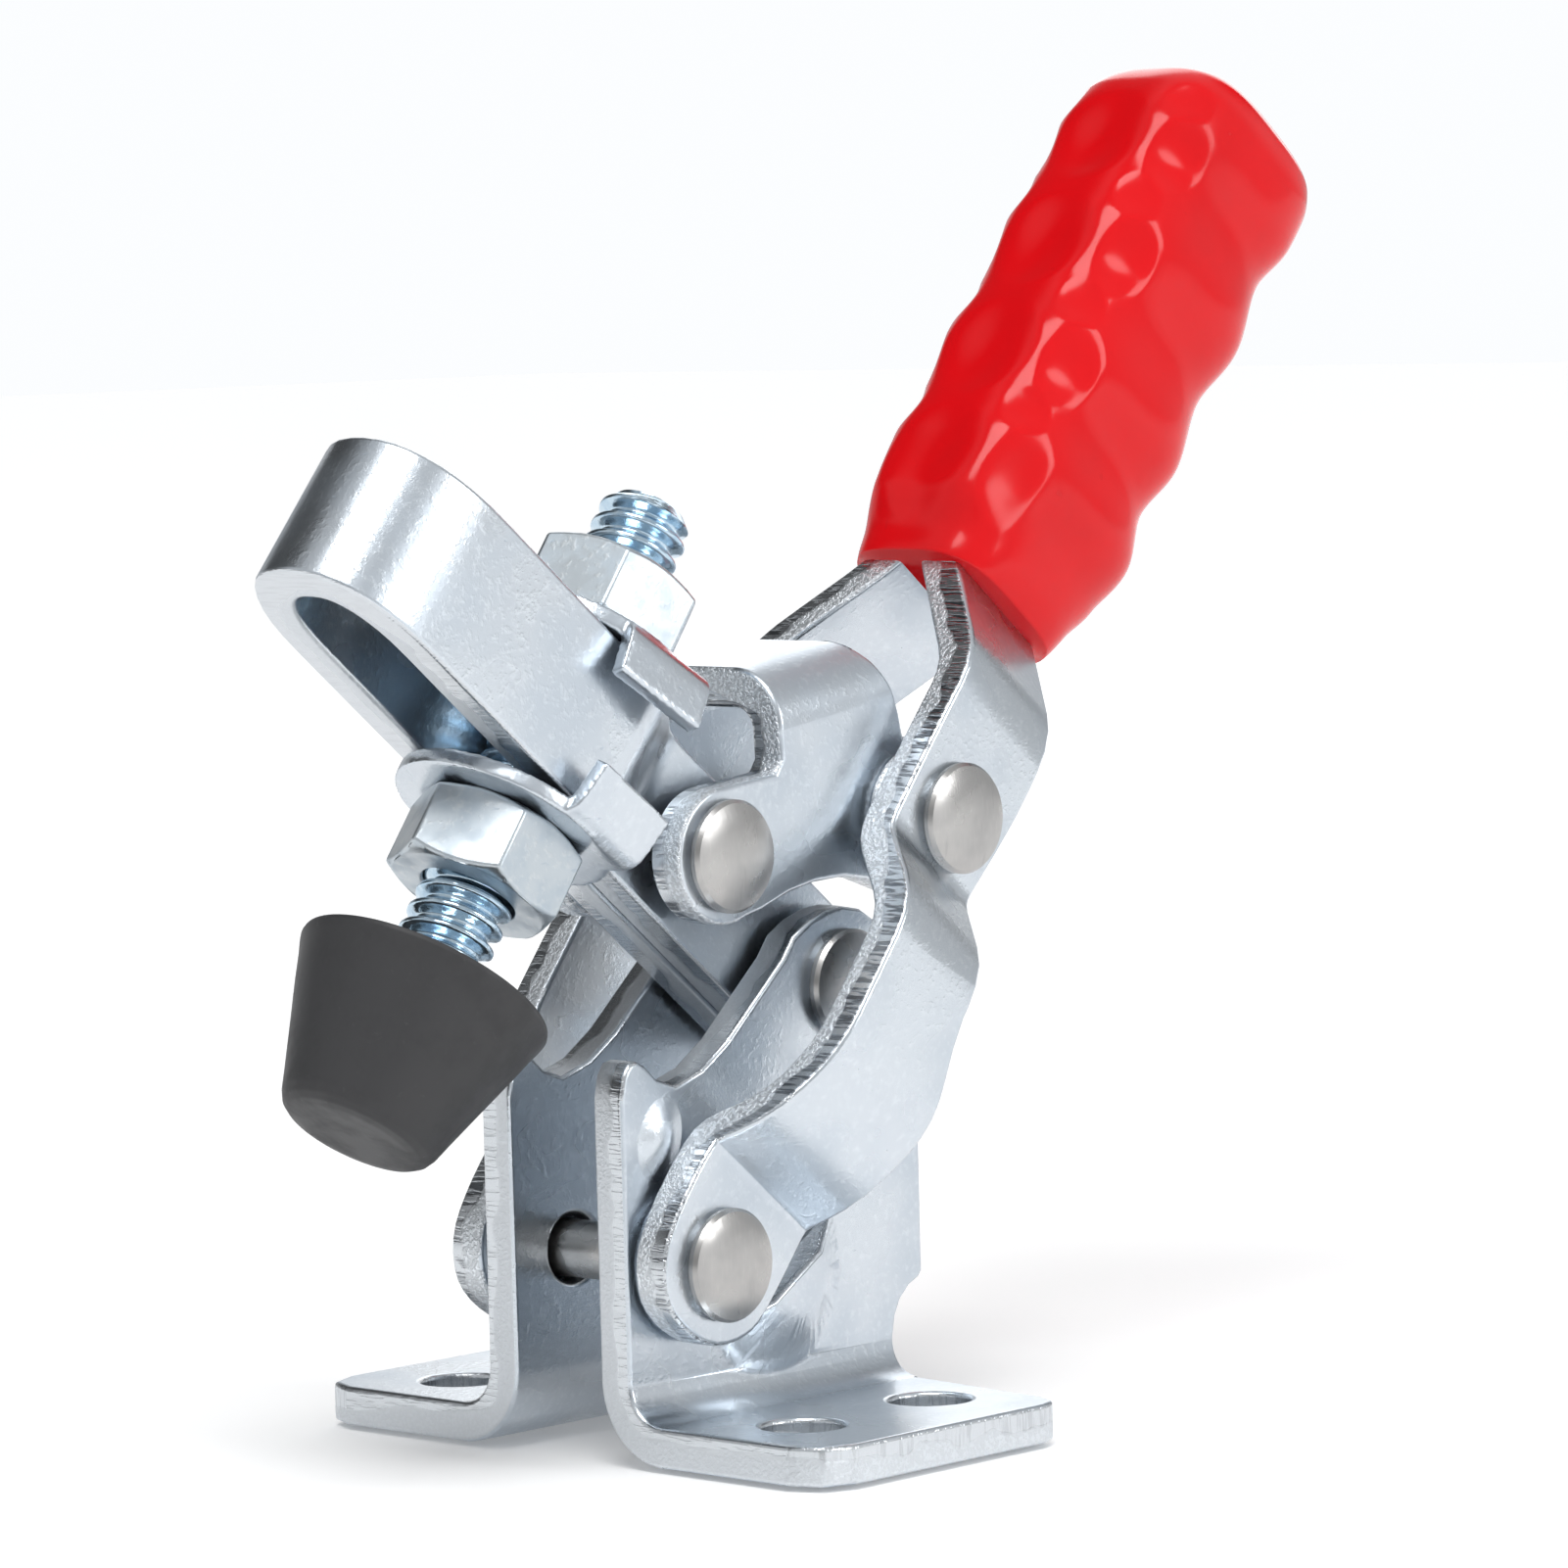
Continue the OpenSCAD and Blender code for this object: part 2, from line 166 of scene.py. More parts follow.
def grain_group():
    """One layer of noise on the object's own coordinates: Stretch scales its axes, Low and High set its contrast."""
    g = bpy.data.node_groups.get("Surface Grain")
    if g:
        return g
    g = bpy.data.node_groups.new("Surface Grain", "ShaderNodeTree")
    group_sockets(
        g,
        [("Stretch", "NodeSocketVector", EVEN), ("Scale", "NodeSocketFloat", 100.0),
         ("Detail", "NodeSocketFloat", 3.0), ("Low", "NodeSocketFloat", 0.35), ("High", "NodeSocketFloat", 0.65)],
        [("Mask", "NodeSocketFloat")])
    n, link = g.nodes, g.links.new
    gin, gout = n.new("NodeGroupInput"), n.new("NodeGroupOutput")
    where = n.new("ShaderNodeTexCoord")
    place = n.new("ShaderNodeMapping")
    noise = n.new("ShaderNodeTexNoise")
    noise.inputs["Roughness"].default_value = NOISE_ROUGHNESS
    span = n.new("ShaderNodeMapRange")
    span.interpolation_type = "SMOOTHSTEP"
    link(where.outputs["Object"], place.inputs["Vector"])
    link(gin.outputs["Stretch"], place.inputs["Scale"])
    link(place.outputs["Vector"], noise.inputs["Vector"])
    link(gin.outputs["Scale"], noise.inputs["Scale"])
    link(gin.outputs["Detail"], noise.inputs["Detail"])
    link(noise.outputs["Fac"], span.inputs["Value"])
    link(gin.outputs["Low"], span.inputs["From Min"])
    link(gin.outputs["High"], span.inputs["From Max"])
    link(span.outputs["Result"], gout.inputs["Mask"])
    return g


def mixed(nodes, link, f, a, b, kind="RGBA"):
    """A Mix node between two sockets, for colours or for single values, which it keeps in sockets of their own."""
    m = nodes.new("ShaderNodeMix")
    m.data_type = kind
    ins, out = ((6, 7), 2) if kind == "RGBA" else ((2, 3), 0)
    link(f, m.inputs[0])
    link(a, m.inputs[ins[0]])
    link(b, m.inputs[ins[1]])
    return m.outputs[out]


def reckoned(nodes, link, operation, *values):
    """A Math node over sockets and plain numbers."""
    m = nodes.new("ShaderNodeMath")
    m.operation = operation
    for socket, value in zip(m.inputs, values):
        if isinstance(value, (int, float)):
            socket.default_value = value
        else:
            link(value, socket)
    return m.outputs[0]


def finish_group():
    """Plated or moulded surface: blotches shade it and dull it, specks lighten it, marks darken it, and all three
    raise or sink a fine relief."""
    g = bpy.data.node_groups.get("Worked Finish")
    if g:
        return g
    g = bpy.data.node_groups.new("Worked Finish", "ShaderNodeTree")
    group_sockets(
        g,
        [("Colour", "NodeSocketColor", GREY), ("Shade", "NodeSocketColor", GREY), ("Light", "NodeSocketColor", GREY),
         ("Blotches", "NodeSocketFloat", 0.0), ("Specks", "NodeSocketFloat", 0.0), ("Marks", "NodeSocketFloat", 0.0),
         ("Shade Amount", "NodeSocketFloat", 0.5), ("Light Amount", "NodeSocketFloat", 0.5),
         ("Mark Amount", "NodeSocketFloat", 0.0), ("Smooth", "NodeSocketFloat", 0.3), ("Dull", "NodeSocketFloat", 0.5)],
        [("Colour", "NodeSocketColor"), ("Roughness", "NodeSocketFloat"), ("Height", "NodeSocketFloat")])
    n, link = g.nodes, g.links.new
    gin, gout = n.new("NodeGroupInput").outputs, n.new("NodeGroupOutput").inputs
    mark_shade, mark_dullness, blotch_height = 0.8, 0.2, 0.3
    shading = reckoned(n, link, "MULTIPLY", gin["Blotches"], gin["Shade Amount"])
    lighting = reckoned(n, link, "MULTIPLY", gin["Specks"], gin["Light Amount"])
    worn = reckoned(n, link, "MULTIPLY", gin["Marks"], gin["Mark Amount"])
    shaded = mixed(n, link, shading, gin["Colour"], gin["Shade"])
    lit = mixed(n, link, lighting, shaded, gin["Light"])
    link(mixed(n, link, reckoned(n, link, "MULTIPLY", worn, mark_shade), lit, gin["Shade"]), gout["Colour"])
    rough = mixed(n, link, gin["Blotches"], gin["Smooth"], gin["Dull"], "FLOAT")
    link(reckoned(n, link, "MULTIPLY_ADD", worn, mark_dullness, rough), gout["Roughness"])
    raised = reckoned(n, link, "MULTIPLY_ADD", gin["Blotches"], blotch_height, gin["Specks"])
    link(reckoned(n, link, "SUBTRACT", raised, worn), gout["Height"])
    return g


def cut_group():
    """Sheared edge of a sheet: Through runs from 0 to 1 across the thickness. A wavering line parts the sheared
    band, with fine streaks across the thickness, from the torn band, with bright grains."""
    g = bpy.data.node_groups.get("Cut Zones")
    if g:
        return g
    g = bpy.data.node_groups.new("Cut Zones", "ShaderNodeTree")
    group_sockets(
        g,
        [("Through", "NodeSocketFloat", 0.5), ("Waver", "NodeSocketFloat", 0.5), ("Streaks", "NodeSocketFloat", 0.0),
         ("Grains", "NodeSocketFloat", 0.0), ("Split", "NodeSocketFloat", 0.5), ("Contrast", "NodeSocketFloat", 0.5),
         ("Colour", "NodeSocketColor", GREY), ("Dark", "NodeSocketColor", GREY), ("Light", "NodeSocketColor", GREY)],
        [("Colour", "NodeSocketColor"), ("Roughness", "NodeSocketFloat"), ("Height", "NodeSocketFloat")])
    n, link = g.nodes, g.links.new
    gin, gout = n.new("NodeGroupInput").outputs, n.new("NodeGroupOutput").inputs
    waver_width, steepness = 0.35, 9.0
    sway = reckoned(n, link, "SUBTRACT", gin["Waver"], 0.5)
    moved = reckoned(n, link, "MULTIPLY_ADD", sway, waver_width, gin["Through"])
    over = reckoned(n, link, "SUBTRACT", moved, gin["Split"])
    zone = reckoned(n, link, "MULTIPLY_ADD", over, steepness, 0.5)
    zone.node.use_clamp = True
    uneven = reckoned(n, link, "MULTIPLY_ADD", gin["Waver"], 0.8, 0.2)
    strong = reckoned(n, link, "MULTIPLY", gin["Contrast"], uneven)
    band = mixed(n, link, reckoned(n, link, "MULTIPLY", gin["Streaks"], strong), gin["Colour"], gin["Dark"])
    torn = mixed(n, link, gin["Grains"], gin["Colour"], gin["Light"])
    link(mixed(n, link, zone, torn, band), gout["Colour"])
    torn_roughness, sheared_smoother, streak_depth = 0.46, 0.2, 0.8
    link(reckoned(n, link, "MULTIPLY_ADD", zone, -sheared_smoother, torn_roughness), gout["Roughness"])
    streak_height = reckoned(n, link, "MULTIPLY", gin["Streaks"], -streak_depth)
    link(mixed(n, link, zone, gin["Grains"], streak_height, "FLOAT"), gout["Height"])
    return g


def grain(tree, spec):
    """A Surface Grain node with its (stretch, scale, detail, low, high) set; gives its mask."""
    g = tree.nodes.new("ShaderNodeGroup")
    g.node_tree = grain_group()
    for key, value in zip(("Stretch", "Scale", "Detail", "Low", "High"), spec):
        g.inputs[key].default_value = value
    return g.outputs["Mask"]


def tinted(colour, by):
    """The colour with each channel multiplied, as RGBA."""
    return (*[min(1, c * k) for c, k in zip(colour, by)], 1)


def dress(material, outputs, relief, metallic):
    """Feeds a finish group's outputs to the material's shader, the height through a Bump node."""
    n, link = material.node_tree.nodes, material.node_tree.links.new
    shader = n["Principled BSDF"]
    bump = n.new("ShaderNodeBump")
    bump.inputs["Strength"].default_value, bump.inputs["Distance"].default_value = relief
    link(outputs["Height"], bump.inputs["Height"])
    link(outputs["Colour"], shader.inputs["Base Color"])
    link(outputs["Roughness"], shader.inputs["Roughness"])
    link(bump.outputs["Normal"], shader.inputs["Normal"])
    shader.inputs["Metallic"].default_value = metallic
    return shader


def finish(name, colour, shade, light, amounts, rough, blotches, specks, marks, relief, metallic=1.0, mirror=0.5):
    """A material from the two groups. shade and light multiply colour; amounts are the shares of shade, light and
    marks; rough is the roughness between and on the blotches; blotches, specks and marks are grains; relief is
    the bump's (strength, distance in metres); mirror is the Specular IOR Level."""
    m = bpy.data.materials.get(name)
    if m:
        return m
    m = bpy.data.materials.new(name)
    m.use_nodes = True
    f = m.node_tree.nodes.new("ShaderNodeGroup")
    f.node_tree = finish_group()
    f.inputs["Colour"].default_value = (*colour, 1)
    f.inputs["Shade"].default_value = tinted(colour, shade)
    f.inputs["Light"].default_value = tinted(colour, light)
    for key, value in zip(("Shade Amount", "Light Amount", "Mark Amount"), amounts):
        f.inputs[key].default_value = value
    f.inputs["Smooth"].default_value, f.inputs["Dull"].default_value = rough
    for key, spec in (("Blotches", blotches), ("Specks", specks), ("Marks", marks)):
        m.node_tree.links.new(grain(m.node_tree, spec), f.inputs[key])
    shader = dress(m, f.outputs, relief, metallic)
    shader.inputs["Specular IOR Level"].default_value = mirror
    m.diffuse_color = (*colour, 1)
    return m


def zinc():
    """Plated sheet steel with soft blotches, fine specks and short scratches."""
    return finish(
        "zinc sheet", colours().zinc, shade=(0.62, 0.69, 0.76), light=(1.3, 1.28, 1.25), amounts=(0.32, 0.3, 0.55),
        rough=(0.25, 0.36), blotches=(EVEN, 120, 2, 0.36, 0.72), specks=(EVEN, 2100, 2, 0.45, 0.8),
        marks=((1, 0.6, 1.8), 760, 2, 0.73, 0.78), relief=(0.2, 0.05 * MM))


def sheared(name="sheared edge", along=(1, 0.10, 1), contrast=0.9):
    """Cut edge over the piece's own attribute through the sheet. along stretches its streaks, and contrast, from 0
    to 1, makes them darker, the torn grains brighter and the relief stronger."""
    m = bpy.data.materials.get(name)
    if m:
        return m
    m = bpy.data.materials.new(name)
    m.use_nodes = True
    tree, colour = m.node_tree, colours().sheared
    f = tree.nodes.new("ShaderNodeGroup")
    f.node_tree = cut_group()
    through = tree.nodes.new("ShaderNodeAttribute")
    through.attribute_name = "through"
    tree.links.new(through.outputs["Fac"], f.inputs["Through"])
    grains = {"Waver": ((1, 0.3, 1), 240, 2, 0.3, 0.7), "Streaks": (along, 3300, 2, 0.47, 0.60),
              "Grains": (EVEN, 4200, 2, 0.44, 0.60)}
    for key, spec in grains.items():
        tree.links.new(grain(tree, spec), f.inputs[key])
    brightness, strength = 1 + 0.4 * contrast, 0.15 + 0.5 * contrast
    f.inputs["Split"].default_value = 0.52
    f.inputs["Contrast"].default_value = contrast
    f.inputs["Colour"].default_value = (*colour, 1)
    f.inputs["Dark"].default_value = tinted(colour, (0.12, 0.13, 0.15))
    f.inputs["Light"].default_value = tinted(colour, (brightness, brightness, brightness))
    dress(m, f.outputs, (strength, 0.1 * MM), metallic=1.0)
    m.diffuse_color = (*colour, 1)
    return m


def sheared_foot():
    """The feet's edges, with faint upright streaks."""
    return sheared("sheared foot edge", (1, 1, 0.08), 0.22)


def sheared_base():
    """The calm edges of the base's walls and of the arm."""
    return sheared("sheared base edge", (1, 0.10, 1), 0.10)


def rivet_finish():
    """Smooth warm grey steel, turned fine."""
    return finish(
        "rivet heads", colours().rivet, shade=(0.74, 0.74, 0.76), light=(1.2, 1.2, 1.18), amounts=(0.5, 0.3, 0.4),
        rough=(0.27, 0.38), blotches=(EVEN, 260, 3, 0.4, 0.7), specks=((6, 1, 1), 900, 2, 0.5, 0.8),
        marks=((8, 1, 1), 300, 2, 0.66, 0.72), relief=(0.10, 0.03 * MM))


def screw_finish():
    """Satin zinc plate of the nuts."""
    return finish(
        "bright zinc", colours().screw, shade=(0.72, 0.80, 0.88), light=(1.3, 1.22, 1.15), amounts=(0.4, 0.4, 0.5),
        rough=(0.34, 0.46), blotches=(EVEN, 420, 3, 0.4, 0.7), specks=(EVEN, 1800, 2, 0.5, 0.75),
        marks=((1, 1, 3), 500, 2, 0.70, 0.76), relief=(0.16, 0.04 * MM))


def thread_finish():
    """Glossy blue plate of the thread."""
    return finish(
        "blue thread", tinted(colours().screw, (1.03, 1.16, 1.25))[:3], shade=(0.5, 0.66, 0.8),
        light=(1.3, 1.2, 1.15), amounts=(0.6, 0.4, 0.4), rough=(0.12, 0.24), blotches=(EVEN, 600, 3, 0.4, 0.7),
        specks=(EVEN, 2200, 2, 0.5, 0.75), marks=((1, 1, 3), 600, 2, 0.68, 0.74), relief=(0.16, 0.04 * MM))


def grip_finish():
    """Glossy soft plastic with a few dust specks."""
    return finish(
        "red grip", colours().grip, shade=(0.82, 0.7, 0.7), light=(1.1, 2.0, 2.0), amounts=(0.4, 0.2, 0.5),
        rough=(0.13, 0.22), blotches=(EVEN, 120, 3, 0.4, 0.75), specks=(EVEN, 1100, 2, 0.6, 0.85),
        marks=(EVEN, 700, 1, 0.76, 0.80), relief=(0.05, 0.06 * MM), metallic=0.0, mirror=0.27)


def rubber_finish():
    """Dull dark rubber with pale dust."""
    return finish(
        "rubber cap", colours().rubber, shade=(0.75, 0.75, 0.75), light=(2.0, 2.0, 1.95), amounts=(0.5, 0.30, 0.3),
        rough=(0.46, 0.62), blotches=(EVEN, 260, 4, 0.4, 0.7), specks=(EVEN, 1900, 3, 0.62, 0.8),
        marks=(EVEN, 400, 2, 0.7, 0.8), relief=(0.16, 0.06 * MM), metallic=0.0, mirror=0.4)


# Shared mesh work


def clear(name):
    """Removes a piece of that name, so that an operator can be run again."""
    old = bpy.data.objects.get(name)
    if old:
        bpy.data.objects.remove(old, do_unlink=True)


def put(name, mesh, materials, body, slot, *nodes):
    """Links the mesh as an object that rides on a body and stands for CAD nodes."""
    clear(name)
    o = bpy.data.objects.new(name, mesh)
    bpy.context.scene.collection.objects.link(o)
    mesh.materials.clear()
    for m in materials:
        mesh.materials.append(m)
    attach(o, body)
    if nodes:
        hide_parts(*nodes)
    return o


def grid_mesh(name, points):
    """A mesh over a grid of points (rows, columns, 3) in metres. Columns close round; the first and last rows
    are capped by a fan to their middle."""
    rows, cols = points.shape[:2]
    i = np.arange(rows - 1)[:, None] * cols
    j = np.arange(cols)
    k = (j + 1) % cols
    middle, last = rows * cols, (rows - 1) * cols
    faces = np.stack([i + j, i + k, i + cols + k, i + cols + j], axis=-1).reshape(-1, 4).tolist()
    faces += np.stack([k, j, np.full(cols, middle)], -1).tolist()
    faces += np.stack([last + j, last + k, np.full(cols, middle + 1)], -1).tolist()
    verts = np.vstack([points.reshape(-1, 3), points[0].mean(0), points[-1].mean(0)])
    mesh = bpy.data.meshes.new(name)
    mesh.from_pydata(verts.tolist(), [], faces)
    mesh.update()
    bm = bmesh.new()
    bm.from_mesh(mesh)
    bmesh.ops.recalc_face_normals(bm, faces=bm.faces)
    bm.to_mesh(mesh)
    bm.free()
    mesh.shade_smooth()
    return mesh


def join_flat(mesh, near):
    """Merges points nearer than near, in metres, and joins the faces of flat areas."""
    bm = bmesh.new()
    bm.from_mesh(mesh)
    bmesh.ops.remove_doubles(bm, verts=bm.verts, dist=near)
    bmesh.ops.dissolve_limit(bm, angle_limit=FLAT, verts=bm.verts, edges=bm.edges)
    bm.to_mesh(mesh)
    bm.free()


def node_mesh(node, name):
    """A copy of a CAD node's mesh, joined flat, and smooth but for its sharp edges."""
    mesh = frame["nodes"][node].data.copy()
    mesh.name = name
    join_flat(mesh, MERGE)
    custom = mesh.attributes.get("custom_normal")
    if custom:
        mesh.attributes.remove(custom)
    mesh.shade_smooth()
    mesh.set_sharp_from_angle(angle=SHADED_SHARP)
    return mesh


def soften_edges(o, width):
    """Rounds the turned edges and keeps the flat faces flat in the shading."""
    bevel = o.modifiers.new("round edges", "BEVEL")
    bevel.width, bevel.segments = width, 3
    bevel.limit_method, bevel.angle_limit = "ANGLE", ROUNDED
    bevel.use_clamp_overlap = False
    bevel.harden_normals = False
    shading = o.modifiers.new("flat shading", "WEIGHTED_NORMAL")
    shading.keep_sharp = False
    shading.weight = 80
    return o


def round_over(o, width):
    """Rounds every edge of a small pressed piece: even cells of 0.7 times the width, drawn together by smoothing."""
    cells = o.modifiers.new("even cells", "REMESH")
    cells.mode, cells.voxel_size, cells.use_smooth_shade = "VOXEL", 0.7 * width, True
    smooth = o.modifiers.new("rounded edges", "SMOOTH")
    smooth.factor, smooth.iterations = 0.5, 9


def mark_faces(mesh, rule):
    """Sets each face's material index to rule(normals, centres in millimetres)."""
    count = len(mesh.polygons)
    normal, centre = np.empty(count * 3), np.empty(count * 3)
    mesh.polygons.foreach_get("normal", normal)
    mesh.polygons.foreach_get("center", centre)
    index = rule(normal.reshape(-1, 3), centre.reshape(-1, 3) * TO_MM).astype(np.int32)
    mesh.polygons.foreach_set("material_index", index)


def lean_frame(points, origin, lean):
    """Points (n, 3) in millimetres seen in a frame leaned back about Y: x across, y sideways, z up."""
    s, k = math.sin(lean), math.cos(lean)
    p = points - np.array([origin[0], 0, origin[1]])
    return np.stack([p[:, 0] * k - p[:, 2] * s, p[:, 1], p[:, 0] * s + p[:, 2] * k], -1)


def from_lean_frame(p, origin, lean):
    """Points (..., 3) given in a frame leaned back about Y, brought into the row frame."""
    s, k = math.sin(lean), math.cos(lean)
    x = origin[0] + p[..., 0] * k + p[..., 2] * s
    z = origin[1] - p[..., 0] * s + p[..., 2] * k
    return np.stack([x, p[..., 1], z], -1)


def path_distance(p, path):
    """Distance of points (n, 2) from a path of straight pieces: the least distance to any of them."""
    a, d = path[:-1], np.diff(path, axis=0)
    t = np.clip(((p[:, None] - a) * d).sum(-1) / (d * d).sum(-1), 0, 1)
    return np.linalg.norm(p[:, None] - (a + t[..., None] * d), axis=-1).min(1)


def mark_depth(mesh, rule):
    """Stores the attribute through, the share of the sheet's thickness reached at each point: rule(points in
    millimetres), 0 at one face of the sheet and 1 at the other."""
    count = len(mesh.vertices)
    co = np.empty(count * 3)
    mesh.vertices.foreach_get("co", co)
    share = np.clip(rule(co.reshape(-1, 3) * TO_MM), 0, 1)
    mesh.attributes.new("through", "FLOAT", "POINT").data.foreach_set("value", share.astype(np.float32))


def sheet_piece(node, name, body, faces, depth, materials):
    """A pressed sheet: the CAD node with rounded, sheared edges."""
    mesh = node_mesh(node, name)
    mark_depth(mesh, depth)
    o = put(name, mesh, materials, body, "zinc_sheet", node)
    mark_faces(mesh, faces)
    return soften_edges(o, sizes().edge_round)


def plain_piece(node, material, body, slot):
    """A CAD node in its own shape, named after the node."""
    mesh = node_mesh(node, node.replace("_", "-"))
    return put(mesh.name, mesh, [material], body, slot, node)


# Operators


class CLAMP_OT_base(bpy.types.Operator):
    """Builds the two flanged base plates. The share through the sheet is worked out from the distance to the
    bend's centre in the bend, and from the wall's or the foot's own plane beside it."""

    bl_idname = "clamp.base"
    bl_label = "Base plates"

    def execute(self, context):
        gap, bend, sheet = 3.6, 5.0, 2.5
        foot_start, end_normal = 8.7, 0.6

        def faces(n, c):
            out = np.abs(c[:, 1])
            edge = (np.abs(n[:, 1]) < CUT_NORMAL) & (out < foot_start) & (c[:, 2] > sheet)
            foot = (np.abs(n[:, 2]) < CUT_NORMAL) & (out > foot_start)
            return np.where(foot, 2, np.where(edge | (np.abs(n[:, 0]) > end_normal), 1, 0))

        def depth(p):
            y, z = gap + bend - np.abs(p[:, 1]), bend - p[:, 2]
            return (bend - np.hypot(np.maximum(y, 0), np.maximum(z, 0))) / sheet

        for side, sign in (("near", -1), ("far", 1)):
            plate = sheet_piece(f"base_{side}", f"base-plate-{side}", "base", faces, depth,
                                [zinc(), sheared_base(), sheared_foot()])
            flatten_pad(plate.data, gap + sheet)
            bulge = grid_mesh("bulge", bulge_points(gap + sheet, sign) * MM)
            put(f"pressed-bulge-{side}", bulge, [zinc()], "base", "zinc_sheet")
        return {"FINISHED"}


def bulge_points(face, sign):
    """Rings of a leaning oval on the wall's face, in millimetres. They rise by the square of one less the squared
    share of the oval's size, and the first ring lies inside the wall."""
    (middle_x, middle_z), (half_x, half_z), lean = (-8.6, 19.6), (2.3, 3.1), 0.5
    height, sunk, behind = 0.5, 0.05, 0.4
    a = np.linspace(0, FULL_TURN, 72, endpoint=False)
    share = np.linspace(1, 0.04, 22)[:, None]
    x = middle_x + half_x * share * np.cos(a) + lean * share * np.sin(a)
    z = middle_z + half_z * share * np.sin(a)
    y = np.broadcast_to(sign * (face + (height * (1 - share**2) ** 2 - sunk)), x.shape)
    inside = np.stack([x[0], np.full_like(a, sign * (face - behind)), z[0]], -1)[None]
    return np.concatenate([inside, np.stack([x, y, z], -1)])


def flatten_pad(mesh, face):
    """Sinks the CAD's raised pad at the upper front corner to the wall's face, millimetres from the middle, and
    merges its rim away."""
    pad_back, pad_foot, proud, rim = -7.5, 16.9, 0.05, 3e-5
    count = len(mesh.vertices)
    co = np.empty(count * 3)
    mesh.vertices.foreach_get("co", co)
    p = co.reshape(-1, 3) * TO_MM
    pad = (p[:, 0] < pad_back) & (p[:, 2] > pad_foot) & (np.abs(p[:, 1]) > face + proud)
    p[pad, 1] = np.sign(p[pad, 1]) * face
    mesh.vertices.foreach_set("co", (p * MM).ravel())
    join_flat(mesh, rim)


class CLAMP_OT_handle(bpy.types.Operator):
    """Builds the two bowed handle plates. The share through the sheet is the distance from the path of its inner
    face, sideways distance over height, divided by the thickness."""

    bl_idname = "clamp.handle"
    bl_label = "Handle plates"

    def execute(self, context):
        sheet = 2.6
        # The inner face's distance from the middle, and the height up the strip
        inner = np.array([[6.65, -8], [6.65, 7], [10.35, 9.4], [12.2, 14.2], [12.2, 23.3], [7.45, 28.6], [7.45, 41.8],
                          [0.06, 51], [0.06, 90]])

        def faces(n, c):
            return np.where(np.abs(n[:, 1]) < CUT_NORMAL, 1, 0)

        def depth(p):
            own = lean_frame(p, HANDLE_PIVOT, HANDLE_LEAN)
            return path_distance(np.stack([np.abs(own[:, 1]), own[:, 2]], -1), inner) / sheet

        for side in ("near", "far"):
            sheet_piece(f"handle_{side}", f"handle-plate-{side}", "handle", faces, depth, [zinc(), sheared()])
        return {"FINISHED"}


class CLAMP_OT_link(bpy.types.Operator):
    """Builds the channel shaped link. The share through the sheet is the distance inwards from the channel's
    outline, a rectangle with two round upper corners, divided by the thickness."""

    bl_idname = "clamp.link"
    bl_label = "Link"

    def execute(self, context):
        half, top, corner, sheet = 6.5, 10.33, 3.9, 2.5
        web_foot, web_normal = 43, 0.3

        def faces(n, c):
            web = (c[:, 2] > web_foot) & (np.abs(n[:, 0]) < web_normal)
            return np.where((np.abs(n[:, 1]) < CUT_NORMAL) & ~web, 1, 0)

        def depth(p):
            own = lean_frame(p, LINK_FOOT, LINK_LEAN)
            y, z = np.abs(own[:, 1]) - half + corner, own[:, 2] - top + corner
            return -(np.hypot(np.maximum(y, 0), np.maximum(z, 0)) + np.minimum(np.maximum(y, z), 0) - corner) / sheet

        sheet_piece("link", "link-channel", "link", faces, depth, [zinc(), sheared()])
        return {"FINISHED"}


class CLAMP_OT_arm(bpy.types.Operator):
    """Builds the arm, one strip bent round the nose. The share through the strip is the distance from its outer
    outline, divided by the thickness; the nose is a rounded half ellipse."""

    bl_idname = "clamp.arm"
    bl_label = "Clamping arm"

    def execute(self, context):
        strip, tail, half, edge_normal = 2.75, 2.9, 6, 0.9
        nose_start, nose_length, roundness = -40.9, 8.5, 0.87
        up = np.array([math.sin(ARM_RAISE), 0, math.cos(ARM_RAISE)])
        turn = np.radians(np.linspace(0, 90, 25))
        nose = np.stack([nose_start - nose_length * np.sin(turn) ** roundness, half * np.cos(turn) ** roundness], -1)
        outer = np.vstack([[[8, tail], [-19.6, tail], [-23.6, half]], nose])

        def faces(n, c):
            return np.where(np.abs(n @ up) > edge_normal, 1, 0)

        def depth(p):
            own = lean_frame(p, ARM_PIVOT, ARM_RAISE)
            return 1 - path_distance(np.stack([own[:, 0], np.abs(own[:, 1])], -1), outer) / strip

        sheet_piece("arm", "clamping-arm", "arm", faces, depth, [zinc(), sheared_base()])
        return {"FINISHED"}


class CLAMP_OT_rivets(bpy.types.Operator):
    """Builds the four rivets with their domed heads."""

    bl_idname = "clamp.rivets"
    bl_label = "Rivets"

    def execute(self, context):
        for node, body in (("rivet_handle_base", "base"), ("rivet_arm_base", "base"),
                           ("rivet_handle_link", "handle"), ("rivet_link_arm", "link"), ("rivet_core", "arm")):
            plain_piece(node, rivet_finish(), body, "rivet_steel")
        return {"FINISHED"}


class CLAMP_OT_nuts(bpy.types.Operator):
    """Builds the two hexagon nuts and the two flanged washers."""

    bl_idname = "clamp.nuts"
    bl_label = "Nuts and washers"

    def execute(self, context):
        for node, body in (("nut_upper", "upper_nut"), ("nut_lower", "lower_nut")):
            soften_edges(plain_piece(node, screw_finish(), body, "screw_steel"), sizes().fine_round)
        for node in ("washer_upper", "washer_lower"):
            round_over(plain_piece(node, zinc(), "carriage", "zinc_sheet"), sizes().fine_round)
        return {"FINISHED"}


